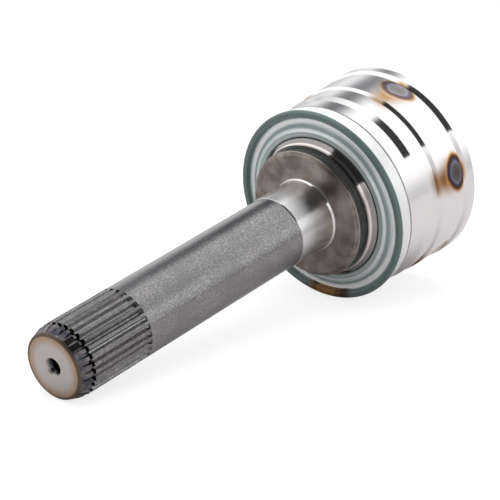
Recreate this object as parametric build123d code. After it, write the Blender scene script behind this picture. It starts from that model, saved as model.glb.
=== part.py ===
from build123d import *
import math
import os

os.makedirs("parts", exist_ok=True)

# Row frame: +X runs along the joint's axis from the splined stem to the open mouth of the bell,
# the origin is the point about which the joint bends, and +Z is up. Millimetres.

# Main lengths. The shoulder is where the stem meets the bell's neck.
STEM_LENGTH = 144.6
SHOULDER_TO_CENTRE = 44.9
CENTRE_TO_MOUTH = 14.5

# Splined stem end: 29 teeth of module 1 with 30 degree flanks. At STEM_EVEN_R teeth and spaces are
# equally wide.
STEM_R = 14.8
STEM_TEETH = 29
FIRST_SPACE_DEG = 3.6
STEM_ROOT_R = 13.4
STEM_EVEN_R = 14.35
FLANK_DEG = 30
SPLINE_LENGTH = 36.6
RUNOUT_LENGTH = 1.4
FACE_R = 13.0
FACE_ROUND = 0.7
BEVEL_LENGTH = 4.6
LIP_R = 14.5
CLIP_GROOVE_START = 5.6
CLIP_GROOVE_WIDTH = 1.4
CLIP_GROOVE_R = 13.1
SPLINE_EDGE = 0.3

# Lathe centre in the stem's end.
DRILL_R = 2.5
DRILL_DEPTH = 14.0
DRILL_TIP_DEG = 31
COUNTERSINK_R = 3.7
COUNTERSINK_DEG = 30

# Bearing journal, shoulder and neck.
JOURNAL_R = 15.0
JOURNAL_LENGTH = 19.5
JOURNAL_EDGE = 0.5
JOURNAL_FILLET = 1.3
SHOULDER_FACE_R = 25.4
SHOULDER_EDGE = 0.3
SHOULDER_BEVEL = 1.3
NECK_EDGE = 0.5
NECK_R = 27.1
NECK_STRAIGHT = 5.0
NECK_FLARE = 2.5
NECK_FILLET = 2.2
COLLAR_R = 29.7
COLLAR_EDGE = 0.9
COLLAR_LENGTH = 2.6

# Bell, outside, from the mouth back to the shield.
LIP_CHAMFER = 0.7
LIP_EDGE = 0.4
LIP_WIDTH = 4.1
LIP_ROUND = 0.9
BELL_LIP_R = 42.0
END_GROOVE_RISE = 1.5
END_GROOVE_FLOOR = 0.3
END_GROOVE_DROP = 0.4
END_GROOVE_R = 40.4
BOOT_BAND_WIDTH = 14.9
BOOT_BAND_R = 41.2
MID_GROOVE_RISE = 1.3
MID_GROOVE_FLOOR = 0.25
MID_GROOVE_DROP = 0.3
MID_GROOVE_R = 39.8
MID_BAND_WIDTH = 7.75
MID_BAND_R = 40.5
TAPER_LENGTH = 3.6
TAPER_ROUND = 1.0
BACK_BAND_WIDTH = 6.3
BACK_BAND_R = 39.9
SEAT_LENGTH = 3.6
BACK_ROUND = 1.0
BACK_ROUND_DROP = 1.8

# Bell, inside, and its ball tracks. The outer arcs are centred towards the mouth and the inner
# arcs towards the stem.
BALLS = 6
BALL_R = 8.731
PITCH_R = 28.5
TRACK_OFFSET = 3.5
OUTER_TRACK_CLEARANCE = 0.05
INNER_TRACK_CLEARANCE = 0.2
FIRST_BALL_DEG = 20.7
CAGE_OUTER_R = 32.0
CAGE_INNER_R = 27.4
CAGE_HALF_WIDTH = 14.0
SPHERE_CLEARANCE = 0.06
WINDOW_CLEARANCE = 0.28
WINDOW_TRAVEL = 1.5
WINDOW_CORNER_R = 3.0
RELIEF_R = 20.0
RELIEF_EXTRA = 2.5
MOUTH_CHAMFER = 2.8
MOUTH_INNER_R = 29.8

# Inner race: 22 teeth of the same pitch for the axle, and a split ring in a groove.
RACE_STEM_SIDE = 12.0
RACE_MOUTH_SIDE = 9.0
AXLE_TEETH = 22
AXLE_MINOR_R = 11.11
AXLE_PITCH_R = 11.64
AXLE_MAJOR_R = 12.6
LEAD_IN = 1.6
CLIP_R = 14.9
CLIP_INNER_R = 11.7
CLIP_THICKNESS = 1.4
CLIP_DEPTH = 2.0
CLIP_PLAY = 0.2
CLIP_LIP = 0.7
PLIER_HOLE_R = 0.8
CLIP_GAP_DEG = 26
PLIER_HOLE_DEG = 22

# Dust shield, walked from its bore out to the rim, and its skirt on the bell's seat.
SHIELD_THICKNESS = 1.2
SHIELD_BORE_CLEARANCE = 0.2
SHIELD_SETBACK = 0.4
INNER_RING_WIDTH = 2.5
STEP_WIDTH = 0.7
STEP_RISE = 0.7
SHELF_WIDTH = 1.3
TROUGH_SLOPE = 1.2
TROUGH_DEPTH = 1.6
TROUGH_WIDTH = 1.3
RIM_SLOPE = 1.4
DISH_ROUND = 0.4
RIM_OVERHANG = 0.95
RIM_WIDTH = 1.8
RIM_ROUND = 1.3
RIM_BACK_ROUND = 0.3
SKIRT_SHRINK = 0.5
SKIRT_GAP = 0.8

SHOULDER_X = -SHOULDER_TO_CENTRE
STEM_END_X = SHOULDER_X - STEM_LENGTH
TRACK_ARC_R = math.hypot(PITCH_R, TRACK_OFFSET)
CAVITY_R = CAGE_OUTER_R + SPHERE_CLEARANCE
INNER_RACE_R = CAGE_INNER_R - SPHERE_CLEARANCE
BELL_STEPS = (LIP_CHAMFER + LIP_WIDTH + END_GROOVE_RISE + END_GROOVE_FLOOR + END_GROOVE_DROP
              + BOOT_BAND_WIDTH + MID_GROOVE_RISE + MID_GROOVE_FLOOR + MID_GROOVE_DROP
              + MID_BAND_WIDTH + TAPER_LENGTH + BACK_BAND_WIDTH)
SEAT_X = CENTRE_TO_MOUTH - BELL_STEPS
SEAT_R = BACK_BAND_R - SHIELD_THICKNESS
COLLAR_X = SHOULDER_X + SHOULDER_BEVEL + NECK_STRAIGHT + NECK_FLARE


def turned(points):
    """A solid of revolution about X from (x, radius) points; a third number rounds that corner."""
    face = make_face(Polyline(*[point[:2] for point in points], close=True))
    for x, radius, size in [point for point in points if len(point) == 3]:
        corner = face.vertices().sort_by_distance(Vector(x, radius, 0))[0]
        face = fillet(corner, size)
    return revolve(face, Axis.X, 360)


def across(radius, start, end):
    """A plain cylinder along X."""
    return Plane.YZ.offset(start) * extrude(Circle(radius), end - start)


def polar(radius, angle):
    return (radius * math.cos(angle), radius * math.sin(angle))


def half_width(even_r, teeth, radius, grows):
    """Half the width at a radius of a tooth or space that are equally wide at even_r."""
    slope = math.tan(math.radians(FLANK_DEG))
    return math.pi * even_r / teeth / 2 + grows * (radius - even_r) * slope


def around(count, first=0):
    """Turns about X that space copies evenly."""
    return [Rot(X=first + 360 / count * k) for k in range(count)]


def spline_core():
    """What the teeth stand on: the root cylinder, which rises in an arc where the spaces end."""
    rise = STEM_R - STEM_ROOT_R
    arc_r = (RUNOUT_LENGTH ** 2 + rise ** 2) / (2 * rise)
    start = STEM_END_X + SPLINE_LENGTH - RUNOUT_LENGTH
    turn = math.radians(45)
    middle = (start + arc_r * math.sin(turn), STEM_ROOT_R + arc_r * (1 - math.cos(turn)))
    top = (start + arc_r, STEM_ROOT_R + arc_r)
    behind = STEM_END_X - BEVEL_LENGTH
    floor = Polyline(top, (top[0], 0), (behind, 0), (behind, STEM_ROOT_R), (start, STEM_ROOT_R))
    exit_arc = ThreePointArc((start, STEM_ROOT_R), middle, top)
    return revolve(make_face([*floor.edges(), exit_arc]), Axis.X, 360)


def stem_gaps():
    """The spaces between the stem's teeth."""
    top = 2 * STEM_R - STEM_ROOT_R
    wide = half_width(STEM_EVEN_R, STEM_TEETH, top, 1)
    narrow = half_width(STEM_EVEN_R, STEM_TEETH, STEM_ROOT_R, 1)
    right = [(narrow, CLIP_GROOVE_R), (narrow, STEM_ROOT_R), (wide, top)]
    left = [(-x, y) for x, y in reversed(right)]
    gap = make_face(Polyline(*right, *left, close=True))
    plane = Plane(origin=(STEM_END_X - BEVEL_LENGTH, 0, 0), x_dir=(0, 1, 0), z_dir=(1, 0, 0))
    prism = extrude(plane * gap, BEVEL_LENGTH + SPLINE_LENGTH) - spline_core()
    return [turn * prism for turn in around(STEM_TEETH, FIRST_SPACE_DEG)]


def tracks(centre, clearance):
    """Three rings, each of which forms two opposite ball tracks."""
    ring = Rot(X=90) * Torus(TRACK_ARC_R, BALL_R + clearance)
    return [Pos(centre, 0, 0) * turn * ring for turn in around(BALLS, FIRST_BALL_DEG)[:BALLS // 2]]


def centre_hole():
    """Drilled lathe centre with a 60 degree countersink in the stem's end."""
    cone = (COUNTERSINK_R - DRILL_R) / math.tan(math.radians(COUNTERSINK_DEG))
    tip = DRILL_R * math.tan(math.radians(DRILL_TIP_DEG))
    front, end = STEM_END_X - BEVEL_LENGTH, STEM_END_X + DRILL_DEPTH
    return turned([(front, 0), (front, COUNTERSINK_R), (STEM_END_X, COUNTERSINK_R),
                   (STEM_END_X + cone, DRILL_R), (end, DRILL_R), (end + tip, 0)])


def stem_outline():
    groove_end = CLIP_GROOVE_START + CLIP_GROOVE_WIDTH
    points = [(0, 0), (0, FACE_R, FACE_ROUND), (BEVEL_LENGTH, LIP_R), (CLIP_GROOVE_START, LIP_R),
              (CLIP_GROOVE_START, CLIP_GROOVE_R), (groove_end, CLIP_GROOVE_R), (groove_end, LIP_R),
              (groove_end + SPLINE_EDGE, STEM_R), (STEM_LENGTH - JOURNAL_LENGTH - JOURNAL_EDGE, STEM_R),
              (STEM_LENGTH - JOURNAL_LENGTH, JOURNAL_R), (STEM_LENGTH, JOURNAL_R, JOURNAL_FILLET)]
    return [(STEM_END_X + point[0], *point[1:]) for point in points]


def neck_outline():
    flare_x = SHOULDER_X + SHOULDER_BEVEL + NECK_STRAIGHT
    return [(SHOULDER_X, SHOULDER_FACE_R, SHOULDER_EDGE), (SHOULDER_X + SHOULDER_BEVEL, NECK_R, NECK_EDGE),
            (flare_x, NECK_R, NECK_FILLET), (COLLAR_X, COLLAR_R, COLLAR_EDGE),
            (COLLAR_X + COLLAR_LENGTH, COLLAR_R)]


def bell_outline():
    """Bell profile, walked from the mouth back to the shield and returned the other way round."""
    steps = [(0, 0), (0, BELL_LIP_R - LIP_CHAMFER), (LIP_CHAMFER, BELL_LIP_R, LIP_EDGE),
             (LIP_WIDTH, BELL_LIP_R, LIP_ROUND), (END_GROOVE_RISE, END_GROOVE_R),
             (END_GROOVE_FLOOR, END_GROOVE_R), (END_GROOVE_DROP, BOOT_BAND_R),
             (BOOT_BAND_WIDTH, BOOT_BAND_R), (MID_GROOVE_RISE, MID_GROOVE_R),
             (MID_GROOVE_FLOOR, MID_GROOVE_R), (MID_GROOVE_DROP, MID_BAND_R),
             (MID_BAND_WIDTH, MID_BAND_R, TAPER_ROUND), (TAPER_LENGTH, BACK_BAND_R, TAPER_ROUND),
             (BACK_BAND_WIDTH, BACK_BAND_R), (0, SEAT_R), (SEAT_LENGTH, SEAT_R),
             (BACK_ROUND, SEAT_R - BACK_ROUND_DROP)]
    x, points = CENTRE_TO_MOUTH, []
    for step in steps:
        x -= step[0]
        points.insert(0, (x, *step[1:]))
    return points


def mouth():
    """What the axle's way in takes out of the bell: the spherical seat, a relief and a chamfer."""
    chamfer = turned([(0, 0), (0, MOUTH_INNER_R), (CENTRE_TO_MOUTH - MOUTH_CHAMFER, MOUTH_INNER_R),
                      (CENTRE_TO_MOUTH, MOUTH_INNER_R + MOUTH_CHAMFER),
                      (CENTRE_TO_MOUTH + LIP_CHAMFER, MOUTH_INNER_R + MOUTH_CHAMFER),
                      (CENTRE_TO_MOUTH + LIP_CHAMFER, 0)])
    return [Sphere(CAVITY_R), across(RELIEF_R, -CAVITY_R - RELIEF_EXTRA, 0), chamfer]


def outer_race():
    body = turned(stem_outline() + neck_outline() + bell_outline())
    body -= stem_gaps()
    body -= centre_hole()
    for cut in mouth() + tracks(TRACK_OFFSET, OUTER_TRACK_CLEARANCE):
        body -= cut
    return body


def dust_shield():
    """Pressed dish round the neck with a thick rim and a skirt on the bell's seat."""
    rim_r = BACK_BAND_R + RIM_OVERHANG
    front, end = COLLAR_X + SHIELD_SETBACK, SEAT_X - SKIRT_GAP
    behind = front + RIM_WIDTH
    x, radius = front, COLLAR_R + SHIELD_BORE_CLEARANCE
    face, back = [(x, radius)], [(x + SHIELD_THICKNESS, radius)]
    for widen, sink in [(INNER_RING_WIDTH, 0), (STEP_WIDTH, STEP_RISE), (SHELF_WIDTH, 0),
                        (TROUGH_SLOPE, TROUGH_DEPTH), (TROUGH_WIDTH, 0),
                        (RIM_SLOPE, -STEP_RISE - TROUGH_DEPTH)]:
        x, radius = x + sink, radius + widen
        face.append((x, radius, DISH_ROUND))
        back.append((x + SHIELD_THICKNESS, radius))
    rim = [(front, rim_r, RIM_ROUND), (behind, rim_r, RIM_BACK_ROUND), (behind, BACK_BAND_R - SKIRT_SHRINK)]
    skirt = [(end, BACK_BAND_R), (end, SEAT_R), (behind + SHIELD_THICKNESS, SEAT_R)]
    return turned(face + rim + skirt + back[::-1])


def axle_bore():
    """The inner race's splined bore."""
    points = []
    inner = half_width(AXLE_PITCH_R, AXLE_TEETH, AXLE_MINOR_R, -1) / AXLE_MINOR_R
    outer = half_width(AXLE_PITCH_R, AXLE_TEETH, AXLE_MAJOR_R, -1) / AXLE_MAJOR_R
    for k in range(AXLE_TEETH):
        middle = 2 * math.pi * k / AXLE_TEETH
        points += [polar(AXLE_MINOR_R, middle - inner), polar(AXLE_MAJOR_R, middle - outer),
                   polar(AXLE_MAJOR_R, middle + outer), polar(AXLE_MINOR_R, middle + inner)]
    star = make_face(Polyline(*points, close=True))
    start, end = -RACE_STEM_SIDE - LEAD_IN, RACE_MOUTH_SIDE + LEAD_IN
    return Plane.YZ.offset(start) * extrude(star, end - start)


def inner_race():
    body = Sphere(INNER_RACE_R) & across(INNER_RACE_R + LEAD_IN, -RACE_STEM_SIDE, RACE_MOUTH_SIDE)
    for ring in tracks(-TRACK_OFFSET, INNER_TRACK_CLEARANCE):
        body -= ring
    body -= axle_bore()
    clip_x = -RACE_STEM_SIDE + CLIP_DEPTH
    body -= across(CLIP_R, clip_x, clip_x + CLIP_THICKNESS + CLIP_PLAY)
    body -= across(CLIP_R - CLIP_LIP, -RACE_STEM_SIDE - LEAD_IN, clip_x)
    wide, front, back = AXLE_MINOR_R + LEAD_IN, RACE_MOUTH_SIDE + LEAD_IN, RACE_MOUTH_SIDE - LEAD_IN
    body -= turned([(back, 0), (back, AXLE_MINOR_R), (RACE_MOUTH_SIDE, wide), (front, wide), (front, 0)])
    return body


def ball_cage():
    body = Sphere(CAGE_OUTER_R) - Sphere(CAGE_INNER_R)
    body = body & across(2 * CAGE_OUTER_R, -CAGE_HALF_WIDTH, CAGE_HALF_WIDTH)
    length, width = 2 * (BALL_R + WINDOW_CLEARANCE), 2 * (BALL_R + WINDOW_TRAVEL)
    window = extrude(RectangleRounded(length, width, WINDOW_CORNER_R), 2 * CAGE_OUTER_R)
    for turn in around(BALLS, FIRST_BALL_DEG):
        body -= turn * window
    return body


def axle_circlip():
    """Split ring with a plier hole in each end."""
    half_gap, middle = math.radians(CLIP_GAP_DEG / 2), (CLIP_R + CLIP_INNER_R) / 2
    ring = Circle(CLIP_R) - Circle(CLIP_INNER_R)
    ring -= Polygon((0, 0), polar(2 * CLIP_R, -half_gap), polar(2 * CLIP_R, half_gap), align=None)
    for side in (-1, 1):
        ring -= Pos(*polar(middle, math.radians(side * PLIER_HOLE_DEG))) * Circle(PLIER_HOLE_R)
    return Plane.YZ.offset(-RACE_STEM_SIDE + CLIP_DEPTH) * extrude(ring, CLIP_THICKNESS)


def save(shape, name, colour):
    solids = shape.solids()
    part = solids[0] if len(solids) == 1 else Compound(solids)
    part.label = name
    part.color = Color(*colour)
    export_step(part, "parts/" + name + ".step")


save(outer_race(), "outer_race", (0.55, 0.55, 0.57))
save(dust_shield(), "dust_shield", (0.50, 0.60, 0.62))
save(inner_race(), "inner_race", (0.60, 0.60, 0.62))
save(ball_cage(), "ball_cage", (0.32, 0.32, 0.34))
save(axle_circlip(), "axle_circlip", (0.35, 0.35, 0.36))
for number, place in enumerate(around(BALLS, FIRST_BALL_DEG), 1):
    save(place * Pos(0, 0, PITCH_R) * Sphere(BALL_R), "ball_" + str(number), (0.80, 0.80, 0.82))
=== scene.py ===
import math

import bpy
from mathutils import Matrix, Vector


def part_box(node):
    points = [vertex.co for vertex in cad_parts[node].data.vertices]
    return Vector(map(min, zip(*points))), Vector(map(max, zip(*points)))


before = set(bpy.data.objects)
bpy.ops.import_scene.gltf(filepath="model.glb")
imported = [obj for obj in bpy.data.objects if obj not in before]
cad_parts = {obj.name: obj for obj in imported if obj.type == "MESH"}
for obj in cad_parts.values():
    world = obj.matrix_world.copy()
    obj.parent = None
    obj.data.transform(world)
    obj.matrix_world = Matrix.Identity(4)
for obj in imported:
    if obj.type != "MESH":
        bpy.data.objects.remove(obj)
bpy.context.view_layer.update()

# Stations along the axis are in millimetres from the stem's end face, as on a workshop drawing.
STEM_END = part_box("outer_race")[0].x
FACE_END = 0.5
FACE_TINT_R = 8.0
FACE_EDGE_R = 11.6
GROOVE_START = 5.6
GROOVE_END = 7.0
SPLINE_END = 36.6
TOOTH_ROOT_R = 13.4
TOOTH_TIP_R = 14.8
JOURNAL_START = 125.1
SHOULDER = 144.6
NECK_R = 27.1
NECK_START = 145.7
FLARE_START = 150.6
FLARE_END = 151.7
BELL_INSIDE_R = 38.5
MARKS_START = 173.0
MID_GROOVE = 180.0
MID_GROOVE_END = 181.5
SPOT_STATION = 193.6
SPOT_R = 41.2
FIRST_BALL_DEG = 20.7
BALLS = 6
RIM_STATION = 155.8
RUST_DEG = 161
RUST_R = 35.0

# Each heat mark is an oval, measured in millimetres from SPOT_STATION.
SPOT_HALF_WIDTH = 7.1
SPOT_STEMWARD = 5.8
SPOT_MOUTHWARD = 4.3
FAINT_SPOT_DEG = 30

# A quarter turn from the tangent, so that grinding lines run round the axis.
GRINDING_TURN = 0.25
OIL_ROUGHNESS = 0.12
OIL_IOR = 1.8
BUMP_DISTANCE = 0.0002

# The joint lies on its stem's lip and on the shield's rim, so the floor is tilted in the row frame.
LIP_STATION = 4.9
LIP_R = 14.45
RIM_CONTACT = 1.1
CAMERA_TILT = math.radians(10.25)
CAMERA_PLACE = Vector((-0.6429, -0.52689, 0.3512))
CAMERA_AIM = Vector((0.66446, 0.62142, -0.41512))
CAMERA_LENS = 156.0

# The floor mirrors pale grey in the steel and shows white, with a light shadow, to the camera.
FLOOR_COLOUR = (0.63, 0.605, 0.61)
FLOOR_SHADOW = (0.31, 0.31, 0.315)
FLOOR_GLOW = 0.79
FLOOR_R = 0.9
FLOOR_SIDES = 96
FLOOR_SHIFT = 0.06
FADE_START_R = 0.35
FADE_END_R = 0.88

# Soft lamp over the object.
LAMP_SIZE = 1.2
LAMP_ENERGY = 5.0
LAMP_HEIGHT = 0.9
LAMP_SHIFT = 0.08

# The surroundings' light on dull surfaces, and how far the dark room takes the mirrored light away.
AMBIENT = 0.78
ROOM_DARKNESS = 0.96


class Wire:
    """A shader socket that can be added, multiplied and compared like a number."""

    def __init__(self, tree, socket):
        self.tree = tree
        self.socket = socket

    def maths(self, operation, *others):
        node = self.tree.nodes.new("ShaderNodeMath")
        node.operation = operation
        for slot, value in zip(node.inputs, (self, *others)):
            plug(self.tree, value, slot)
        return Wire(self.tree, node.outputs[0])

    def __add__(self, other):
        return self.maths("ADD", other)

    def __sub__(self, other):
        return self.maths("SUBTRACT", other)

    def __mul__(self, other):
        return self.maths("MULTIPLY", other)

    def __truediv__(self, other):
        return self.maths("DIVIDE", other)

    def absolute(self):
        return self.maths("ABSOLUTE")

    def power(self, exponent):
        return self.maths("POWER", exponent)

    def root(self):
        return self.maths("SQRT")

    def most(self, other):
        return self.maths("MAXIMUM", other)

    def least(self, other):
        return self.maths("MINIMUM", other)

    def rise(self, start, end, low=0.0, high=1.0):
        """Goes smoothly from low at start to high at end."""
        node = self.tree.nodes.new("ShaderNodeMapRange")
        node.interpolation_type = "SMOOTHSTEP"
        for slot, value in zip(node.inputs, (self, start, end, low, high)):
            plug(self.tree, value, slot)
        return Wire(self.tree, node.outputs[0])

    def between(self, start, end, soft):
        """1 between start and end, 0 outside, with soft edges."""
        return self.rise(start - soft, start + soft) * self.rise(end - soft, end + soft, 1.0, 0.0)

    def graded(self, stops):
        """Runs through colours or numbers, each given with the value at which it stands."""
        low, high = stops[0][0], stops[-1][0]
        node = self.tree.nodes.new("ShaderNodeValToRGB")
        marks = node.color_ramp.elements
        while len(marks) < len(stops):
            marks.new(0.5)
        for mark, (value, colour) in zip(marks, stops):
            mark.position = (value - low) / (high - low)
            mark.color = (*colour, 1.0) if isinstance(colour, tuple) else (colour, colour, colour, 1.0)
        plug(self.tree, (self - low) / (high - low), node.inputs[0])
        return Wire(self.tree, node.outputs[0])


def plug(tree, value, slot):
    """Puts a number, a colour or a wire into a node's input."""
    if isinstance(value, Wire):
        tree.links.new(value.socket, slot)
    elif isinstance(value, tuple) and slot.type == "RGBA":
        slot.default_value = (*value, 1.0)
    else:
        slot.default_value = value


def mix(tree, amount, low, high):
    """Colour low where amount is 0 and high where it is 1."""
    node = tree.nodes.new("ShaderNodeMix")
    node.data_type = "RGBA"
    plug(tree, amount, node.inputs["Factor"])
    plug(tree, low, node.inputs[6])
    plug(tree, high, node.inputs[7])
    return Wire(tree, node.outputs[2])


def blend(low, amount, high):
    """A plain number that goes from low to high with amount."""
    if isinstance(high, Wire):
        return low + (high - low) * amount
    return low + (amount * high - low * amount)


def vector(tree, x, y, z):
    node = tree.nodes.new("ShaderNodeCombineXYZ")
    for slot, value in zip(node.inputs, (x, y, z)):
        plug(tree, value, slot)
    return Wire(tree, node.outputs[0])


def noise(tree, place, scale, detail=3.0, roughness=0.55):
    node = tree.nodes.new("ShaderNodeTexNoise")
    plug(tree, place, node.inputs["Vector"])
    node.inputs["Scale"].default_value = scale
    node.inputs["Detail"].default_value = detail
    node.inputs["Roughness"].default_value = roughness
    return Wire(tree, node.outputs["Fac"])


class Turned:
    """Coordinates of a piece turned about the joint's axis: station and radius in mm, turn in radians."""

    def __init__(self, tree):
        coordinates = tree.nodes.new("ShaderNodeTexCoord")
        split = tree.nodes.new("ShaderNodeSeparateXYZ")
        tree.links.new(coordinates.outputs["Object"], split.inputs[0])
        x, y, z = (Wire(tree, output) for output in split.outputs)
        self.tree = tree
        self.place = Wire(tree, coordinates.outputs["Object"])
        self.station = (x - STEM_END) * 1000
        self.radius = (y * y + z * z).root() * 1000
        self.turn = (y * -1).maths("ARCTAN2", z)

    def past(self, station, soft=0.2):
        """0 before a station and 1 beyond it, with a soft edge."""
        return self.station.rise(station, station + soft)

    def stretched(self, along, around):
        """Noise coordinates that stretch marks along the axis or around it."""
        return vector(self.tree, self.station * along, self.turn * around, self.radius * around * 0.05)


def material(name, build):
    """A metal whose inputs, and bump height in fifths of a millimetre, come from build(tree, Turned)."""
    made = bpy.data.materials.new(name)
    made.use_nodes = True
    tree = made.node_tree
    shader = tree.nodes["Principled BSDF"]
    shader.inputs["Metallic"].default_value = 1.0
    shader.inputs["Coat Roughness"].default_value = OIL_ROUGHNESS
    shader.inputs["Coat IOR"].default_value = OIL_IOR
    inputs = build(tree, Turned(tree))
    height = inputs.pop("height", None)
    for key, value in inputs.items():
        plug(tree, value, shader.inputs[key])
    if height is not None:
        bump = tree.nodes.new("ShaderNodeBump")
        bump.inputs["Distance"].default_value = BUMP_DISTANCE
        bump.inputs["Strength"].default_value = 1.0
        plug(tree, height, bump.inputs["Height"])
        tree.links.new(bump.outputs[0], shader.inputs["Normal"])
    if "Anisotropic" in inputs:
        tangent = tree.nodes.new("ShaderNodeTangent")
        tangent.direction_type = "RADIAL"
        tangent.axis = "X"
        tree.links.new(tangent.outputs[0], shader.inputs["Tangent"])
        shader.inputs["Anisotropic Rotation"].default_value = GRINDING_TURN
    return made


def forged_steel(tree, at):
    """The bell and stem: each machined zone has its own colour and polish, and a few zones also carry
    painted light, as marked below.
    """
    fine = noise(tree, at.place, 1500, 4.0, 0.6)
    mottle = noise(tree, at.place, 900, 4.0, 0.6)
    cloud = noise(tree, at.place, 160, 3.0, 0.5)
    patches = noise(tree, at.place, 70, 2.0, 0.5)
    streak = noise(tree, at.stretched(0.05, 9.0), 6.0, 3.0, 0.6)

    speck = fine.rise(0.38, 0.72) * patches.rise(0.35, 0.65, 0.45, 1.0)
    shaft = mix(tree, speck, (0.165, 0.16, 0.164), (0.44, 0.42, 0.425))
    # Tooth roots are painted lighter than the tips: painted light that lifts the shade in the gaps between
    # the teeth.
    teeth = mix(tree, at.radius.rise(TOOTH_ROOT_R, TOOTH_TIP_R), (0.30, 0.293, 0.293), (0.155, 0.15, 0.148))
    teeth = mix(tree, streak.rise(0.46, 0.66) * fine.rise(0.42, 0.6), teeth, (0.58, 0.55, 0.54))
    teeth = mix(tree, mottle.rise(0.48, 0.62) * 0.5, teeth, (0.085, 0.085, 0.09))
    bevel = mix(tree, cloud.rise(0.35, 0.65), (0.055, 0.06, 0.085), (0.24, 0.215, 0.215))
    # Pale bluish bits at random spots on the bevel are painted glints.
    bevel = mix(tree, patches.rise(0.58, 0.64), bevel, (0.55, 0.57, 0.61))
    face = mix(tree, at.radius.rise(FACE_TINT_R, FACE_EDGE_R), (0.60, 0.575, 0.545), (0.50, 0.37, 0.27))
    face = mix(tree, at.radius.rise(FACE_EDGE_R, FACE_EDGE_R + 0.8), face, (0.15, 0.115, 0.09))
    shoulder = mix(tree, cloud.rise(0.35, 0.7), (0.20, 0.165, 0.145), (0.34, 0.30, 0.27))
    shoulder = mix(tree, mottle.rise(0.62, 0.72) * patches.rise(0.5, 0.6), shoulder, (0.06, 0.055, 0.05))
    # The neck's near black is a painted dark reflection.
    neck = mix(tree, cloud, (0.10, 0.09, 0.088), (0.17, 0.155, 0.15))
    # The flare's pinkish white is a painted highlight ring.
    flare = mix(tree, cloud, (0.90, 0.82, 0.80), (0.96, 0.90, 0.88))
    collar = mix(tree, cloud, (0.29, 0.275, 0.27), (0.41, 0.39, 0.385))
    polished = mix(tree, cloud, (0.92, 0.90, 0.90), (0.96, 0.945, 0.945))

    colour = mix(tree, at.past(FACE_END, 0.6), face, bevel)
    # The clip groove is painted near black: painted shade in the recess.
    colour = mix(tree, at.station.between(GROOVE_START, GROOVE_END, 0.1), colour, (0.025, 0.03, 0.035))
    colour = mix(tree, at.past(GROOVE_END), colour, teeth)
    colour = mix(tree, at.past(SPLINE_END - 0.6, 1.2), colour, shaft)
    on_journal = at.past(JOURNAL_START - 0.3, 0.3)
    colour = mix(tree, on_journal, colour, (0.95, 0.94, 0.945))
    on_shoulder = at.past(SHOULDER - 0.3)
    colour = mix(tree, on_shoulder, colour, shoulder)
    # A pale band at the shoulder's outer edge is a painted highlight on its bevel.
    colour = mix(tree, at.radius.rise(NECK_R - 0.4, NECK_R - 0.2) * on_shoulder, colour, (0.55, 0.50, 0.47))
    colour = mix(tree, at.past(NECK_START), colour, neck)
    colour = mix(tree, at.past(FLARE_START, 1.2), colour, flare)
    colour = mix(tree, at.past(FLARE_END, 0.4), colour, collar)
    colour = mix(tree, at.past(RIM_STATION, 0.5), colour, polished)
    colour = heat_marks(tree, at, colour)

    # Roughness of each zone, then the shaft's grain, the journal's grinding and the oil on the stem.
    rough = fine.rise(0.2, 0.8, 0.14, 0.23)
    level = at.station.rise(FACE_END + 0.1, FACE_END + 0.7, 0.5, 0.20)
    level = blend(level, at.past(GROOVE_END), 0.30)
    level = blend(level, at.past(SPLINE_END - 0.6, 1.2), rough)
    level = blend(level, on_journal, 0.20)
    level = blend(level, on_shoulder, 0.38)
    level = blend(level, at.past(NECK_START), 0.12)
    level = blend(level, at.past(FLARE_START, 1.2), 0.08)
    grain = fine * at.station.between(SPLINE_END, JOURNAL_START, 0.5) * 0.12
    ground = (on_journal - on_shoulder) * 0.9
    oil = at.past(GROOVE_END) * (on_journal * -1 + 1.0) * 0.8
    return {"Base Color": colour, "Roughness": level, "Anisotropic": ground, "Coat Weight": oil,
            "height": grain}


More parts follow.
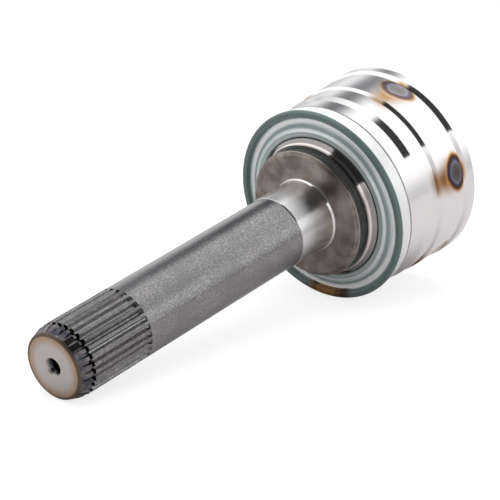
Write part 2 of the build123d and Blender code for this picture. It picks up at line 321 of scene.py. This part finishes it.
def heat_marks(tree, at, colour):
    """Tint left over each ball track by hardening: a dark oval with a golden edge and a tail."""
    pitch = 2 * math.pi / BALLS
    # Two whole turns keep the angle positive.
    turn = at.turn - math.radians(FIRST_BALL_DEG) + 4 * math.pi
    off = (turn / pitch + 0.5).maths("FRACT") - 0.5
    wobble = noise(tree, at.place, 220, 3.0, 0.5) - 0.5
    across = off * pitch * SPOT_R
    along = at.station - SPOT_STATION
    stemward = along.least(0.0)
    width = stemward * 0.22 + SPOT_HALF_WIDTH
    oval = ((across / width).power(2.0) + (along.most(0.0) / SPOT_MOUTHWARD).power(2.0)
            + (stemward / SPOT_STEMWARD).power(2.0)).root() + wobble * 0.25
    tint = oval.graded([(0.0, (0.115, 0.10, 0.10)), (0.48, (0.15, 0.14, 0.135)), (0.64, (0.23, 0.225, 0.31)),
                        (0.76, (0.08, 0.055, 0.075)), (0.97, (0.07, 0.04, 0.03)), (1.09, (0.48, 0.24, 0.07)),
                        (1.36, (0.90, 0.74, 0.52))])
    spot = oval.rise(1.06, 1.40, 1.0, 0.0)
    reach = (across.absolute() + wobble * 1.2) / along.rise(-12.0, -4.5, 1.0, 1.3)
    fading = along.graded([(-17.0, 0.0), (-14.8, 0.5), (-12.0, 0.8), (-9.5, 0.95), (-6.5, 1.0)])
    tail = reach.rise(0.6, 7.8, 1.0, 0.0) * fading * along.rise(-3.0, -2.0, 1.0, 0.0)
    burnt = reach.rise(2.0, 7.6, 1.0, 0.0) * at.station.between(MID_GROOVE, MID_GROOVE_END, 0.8)
    colour = mix(tree, tail, colour, (0.38, 0.15, 0.014))
    colour = mix(tree, burnt, colour, (0.24, 0.10, 0.012))
    marked = mix(tree, spot, colour, tint)
    # The mark that faces up, within FAINT_SPOT_DEG of FIRST_BALL_DEG, is paled.
    faint = at.turn.between(math.radians(FIRST_BALL_DEG - FAINT_SPOT_DEG),
                            math.radians(FIRST_BALL_DEG + FAINT_SPOT_DEG), 0.05)
    paled = tree.nodes.new("ShaderNodeGamma")
    plug(tree, marked, paled.inputs["Color"])
    plug(tree, faint * -0.35 + 1.0, paled.inputs["Gamma"])
    outside = at.radius.rise(BELL_INSIDE_R, BELL_INSIDE_R + 0.5) * at.past(MARKS_START, 1.0)
    return mix(tree, outside, colour, Wire(tree, paled.outputs[0]))


def zinc(tree, at):
    """Plated dust shield: rings of painted highlight and shade, a dark rolled rim and a white skirt."""
    cloud = noise(tree, at.place, 120, 3.0, 0.5)
    wave = (noise(tree, at.place, 26, 2.0, 0.5) - 0.5) * 0.5
    # Colours by radius are mostly painted light: the white band from 35.2 to 37 mm is a painted highlight,
    # the dark lines at 29.9, 31.6 and 33.8 mm are painted shade, the other pale and grey rings are painted
    # reflections, and the dark teal rim is partly the plating's tint and partly painted shade.
    rings = (at.radius + wave).graded([
        (29.9, (0.12, 0.14, 0.14)), (30.4, (0.40, 0.48, 0.47)), (31.2, (0.48, 0.565, 0.55)),
        (31.6, (0.25, 0.315, 0.31)), (32.1, (0.74, 0.82, 0.81)), (33.2, (0.66, 0.74, 0.73)),
        (33.8, (0.28, 0.355, 0.355)), (34.7, (0.32, 0.40, 0.405)), (35.2, (0.96, 0.985, 0.985)),
        (36.2, (0.98, 0.99, 0.99)), (37.0, (0.90, 0.95, 0.955)), (37.5, (0.16, 0.225, 0.215)),
        (39.6, (0.115, 0.17, 0.162)), (40.9, (0.13, 0.19, 0.18))])
    skirt = mix(tree, cloud.rise(0.3, 0.7), (0.93, 0.955, 0.96), (0.97, 0.98, 0.98))
    rust = at.turn.absolute().rise(math.radians(RUST_DEG), math.radians(RUST_DEG + 7))
    rust = rust * at.radius.rise(RUST_R, RUST_R + 1.5)
    rust_colour = mix(tree, cloud.rise(0.4, 0.62), (0.27, 0.125, 0.03), (0.05, 0.025, 0.012))
    rings = mix(tree, rust * 0.95, rings, rust_colour)
    behind = at.past(RIM_STATION - 0.2, 0.5)
    colour = mix(tree, behind, rings, skirt)
    rough = cloud.rise(0.3, 0.7, 0.27, 0.34)
    return {"Base Color": colour, "Roughness": rough, "Metallic": 0.3}


def ground_steel(tree, at):
    cloud = noise(tree, at.place, 200, 3.0, 0.5)
    colour = mix(tree, cloud, (0.46, 0.45, 0.44), (0.62, 0.61, 0.60))
    return {"Base Color": colour, "Roughness": cloud.rise(0.3, 0.7, 0.20, 0.34)}


def phosphated(tree, at):
    cloud = noise(tree, at.place, 400, 4.0, 0.6)
    colour = mix(tree, cloud, (0.07, 0.07, 0.072), (0.16, 0.16, 0.165))
    return {"Base Color": colour, "Roughness": cloud.rise(0.3, 0.7, 0.38, 0.55)}


def ball_steel(tree, at):
    cloud = noise(tree, at.place, 300, 2.0, 0.5)
    colour = mix(tree, cloud, (0.78, 0.78, 0.79), (0.86, 0.86, 0.87))
    return {"Base Color": colour, "Roughness": cloud.rise(0.3, 0.7, 0.06, 0.10)}


def dress():
    steel = material("forged_steel", forged_steel)
    plate = material("zinc_plate", zinc)
    ground = material("race_steel", ground_steel)
    dark = material("cage_steel", phosphated)
    bright = material("ball_steel", ball_steel)
    spring = material("spring_steel", phosphated)
    chosen = {"outer_race": steel, "dust_shield": plate, "inner_race": ground, "ball_cage": dark,
              "axle_circlip": spring}
    for name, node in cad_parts.items():
        node.data.materials.clear()
        node.data.materials.append(chosen.get(name, bright))


def floor_frame():
    """Floor normal and a point on the floor, from the two places where the joint touches it."""
    low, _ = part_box("dust_shield")
    lip = Vector((STEM_END + LIP_STATION / 1000, 0, -LIP_R / 1000))
    rim = Vector((low.x + RIM_CONTACT / 1000, 0, low.z))
    slope = math.atan2(lip.z - rim.z, rim.x - lip.x)
    normal = Vector((math.sin(slope), 0, math.cos(slope)))
    return normal, rim


def floor():
    """Round pale floor that fades out and shows only from above."""
    normal, point = floor_frame()
    centre = point - Vector((FLOOR_SHIFT, 0, 0))
    centre -= normal * (centre - point).dot(normal)
    turns = [2 * math.pi * k / FLOOR_SIDES for k in range(FLOOR_SIDES)]
    ring = [(FLOOR_R * math.cos(turn), FLOOR_R * math.sin(turn), 0) for turn in turns]
    mesh = bpy.data.meshes.new("floor")
    mesh.from_pydata(ring, [], [list(range(FLOOR_SIDES))])
    made = bpy.data.objects.new("floor", mesh)
    bpy.context.scene.collection.objects.link(made)
    made.matrix_world = Matrix.Translation(centre) @ normal.to_track_quat("Z", "Y").to_matrix().to_4x4()

    paint = bpy.data.materials.new("floor")
    paint.use_nodes = True
    tree = paint.node_tree
    shader = tree.nodes["Principled BSDF"]
    shader.inputs["Roughness"].default_value = 0.9
    shader.inputs["Specular IOR Level"].default_value = 0.0
    shader.inputs["Emission Color"].default_value = (1, 1, 1, 1)
    path = tree.nodes.new("ShaderNodeLightPath")
    geometry = tree.nodes.new("ShaderNodeNewGeometry")
    camera_ray = Wire(tree, path.outputs["Is Camera Ray"])
    plug(tree, mix(tree, camera_ray, FLOOR_COLOUR, FLOOR_SHADOW), shader.inputs["Base Color"])
    plug(tree, camera_ray * FLOOR_GLOW, shader.inputs["Emission Strength"])
    coordinates = tree.nodes.new("ShaderNodeTexCoord")
    split = tree.nodes.new("ShaderNodeSeparateXYZ")
    tree.links.new(coordinates.outputs["Object"], split.inputs[0])
    x, y = Wire(tree, split.outputs[0]), Wire(tree, split.outputs[1])
    shown = (x * x + y * y).root().rise(FADE_START_R, FADE_END_R, 1.0, 0.0)
    shown = shown * (Wire(tree, geometry.outputs["Backfacing"]) * -1 + 1)
    plug(tree, shown, shader.inputs["Alpha"])
    made.data.materials.append(paint)


def studio():
    """White surroundings with the dark window frame and dark room that the polished steel mirrors."""
    world = bpy.data.worlds.new("studio")
    bpy.context.scene.world = world
    world.use_nodes = True
    tree = world.node_tree
    background = tree.nodes["Background"]
    normal, _ = floor_frame()
    ahead = (CAMERA_AIM - normal * CAMERA_AIM.dot(normal)).normalized()
    right = ahead.cross(normal)

    def towards(azimuth, elevation):
        a, e = math.radians(azimuth), math.radians(elevation)
        return (ahead * math.cos(a) + right * math.sin(a)) * math.cos(e) + normal * math.sin(e)

    coordinates = tree.nodes.new("ShaderNodeTexCoord")

    def facing(direction):
        node = tree.nodes.new("ShaderNodeVectorMath")
        node.operation = "DOT_PRODUCT"
        tree.links.new(coordinates.outputs["Generated"], node.inputs[0])
        node.inputs[1].default_value = direction
        return Wire(tree, node.outputs["Value"])

    def patch(middle, upper, long, short, dark):
        """Soft dark oval about a direction, its long axis towards the second one."""
        tall = (upper - middle * upper.dot(middle)).normalized()
        wide = middle.cross(tall)
        rise = facing(tall) / math.sin(math.radians(long))
        side = facing(wide) / math.sin(math.radians(short))
        distance = (rise * rise + side * side).root() + facing(middle).rise(0.0, 0.1, 9.0, 0.0)
        return distance.rise(0.15, 1.15, dark, 1.0)

    def beyond(a, r, u, limit, soft):
        """1 on one side of a plane given by its normal as ahead, right and up."""
        side = (ahead * a + right * r + normal * u).normalized()
        return facing(side).rise(limit - soft, limit + soft)

    # A dark window with two weaker shades below it, and a dark room that three planes bound.
    window = patch(towards(-2, 37), towards(1.5, 44), 24, 11, 0.19)
    window = window * patch(towards(-20, 22), towards(-20, 32), 9, 9, 0.45)
    window = window * patch(towards(-10, 12), towards(-10, 22), 12, 16, 0.8)
    room = beyond(0.249, -0.561, 1.0, 0.0, 0.015) * beyond(-0.766, 0.643, 0.0, 0.02, 0.04)
    room = room * beyond(-0.95, -0.2, 0.25, 0.01, 0.04)
    level = window * (room * -ROOM_DARKNESS + 1.0) * facing(normal).rise(-0.05, 0.28, 0.62, 1.08)
    path = tree.nodes.new("ShaderNodeLightPath")
    glossy = Wire(tree, path.outputs["Is Glossy Ray"])
    camera_ray = Wire(tree, path.outputs["Is Camera Ray"])
    strength = blend(camera_ray * (1 - AMBIENT) + AMBIENT, glossy, level)
    plug(tree, strength, background.inputs["Strength"])
    plug(tree, mix(tree, window, (0.93, 0.94, 1.0), (1.0, 1.0, 1.0)), background.inputs["Color"])

    lamp = bpy.data.lights.new("overhead", "AREA")
    lamp.shape = "DISK"
    lamp.size = LAMP_SIZE
    lamp.energy = LAMP_ENERGY
    overhead = bpy.data.objects.new("overhead", lamp)
    bpy.context.scene.collection.objects.link(overhead)
    overhead.location = normal * LAMP_HEIGHT - Vector((LAMP_SHIFT, 0, 0))
    overhead.rotation_mode = "QUATERNION"
    overhead.rotation_quaternion = normal.to_track_quat("Z", "Y")
    overhead.visible_glossy = False


def camera():
    """Photograph's view, level with the floor that the joint lies on."""
    data = bpy.data.cameras.new("camera")
    data.lens = CAMERA_LENS
    data.sensor_width = 36.0
    data.clip_start, data.clip_end = 0.05, 20.0
    made = bpy.data.objects.new("camera", data)
    bpy.context.scene.collection.objects.link(made)
    upright = Vector((math.sin(CAMERA_TILT), 0, math.cos(CAMERA_TILT)))
    back = -CAMERA_AIM.normalized()
    right = upright.cross(back).normalized()
    up = back.cross(right)
    turn = Matrix((right, up, back)).transposed().to_4x4()
    made.matrix_world = Matrix.Translation(CAMERA_PLACE) @ turn
    bpy.context.scene.camera = made


bpy.context.scene.view_settings.view_transform = "Standard"
dress()
floor()
studio()
camera()
